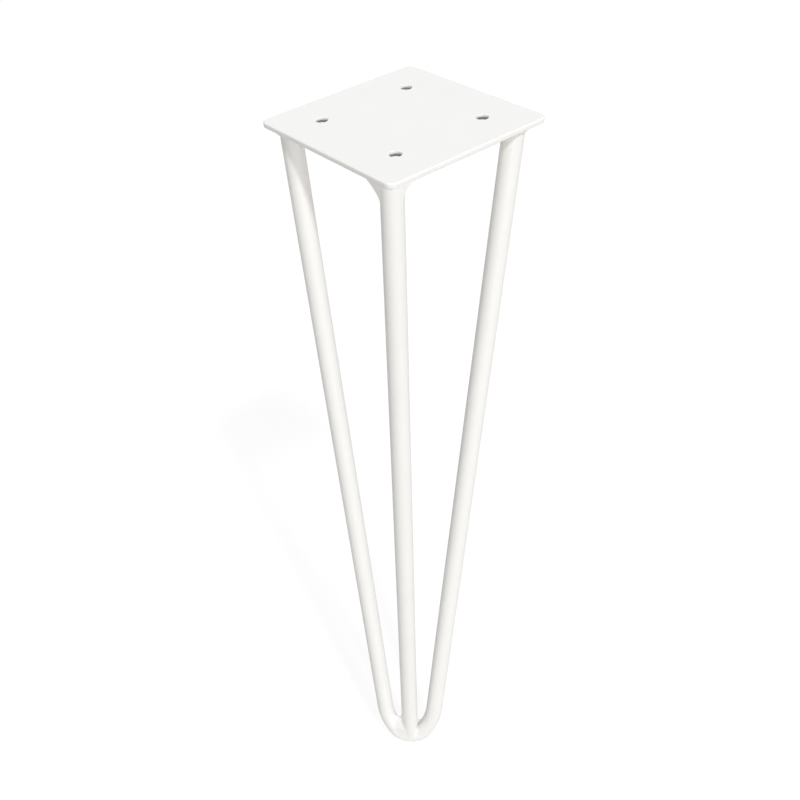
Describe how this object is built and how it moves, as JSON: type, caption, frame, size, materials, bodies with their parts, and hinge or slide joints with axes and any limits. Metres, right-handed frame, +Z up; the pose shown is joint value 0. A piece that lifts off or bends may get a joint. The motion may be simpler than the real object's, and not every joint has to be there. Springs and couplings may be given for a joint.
{
  "type": "hairpin table leg",
  "caption": "Welded hairpin leg: a bent round rod and a straight front rod meet in a narrow foot under a square screw plate, to carry a table top.",
  "frame": {"origin": "centre of the screw plate's top face, where the table top rests", "axes": "+Z up, out of the plate's top face; -Y towards the plate's front corner and the foot; X across the hairpin, from its left side to its right side"},
  "size_m": [0.124, 0.129, 0.4],
  "materials": {
    "white_coat": "satin powder coat"
  },
  "bodies": {
    "root": {"mounting_plate": "white_coat", "hairpin_rod": "white_coat", "front_rod": "white_coat", "plate_weld_left": "white_coat", "plate_weld_right": "white_coat", "plate_weld_front": "white_coat", "foot_weld_left": "white_coat", "foot_weld_right": "white_coat"}
  },
  "joints": []
}
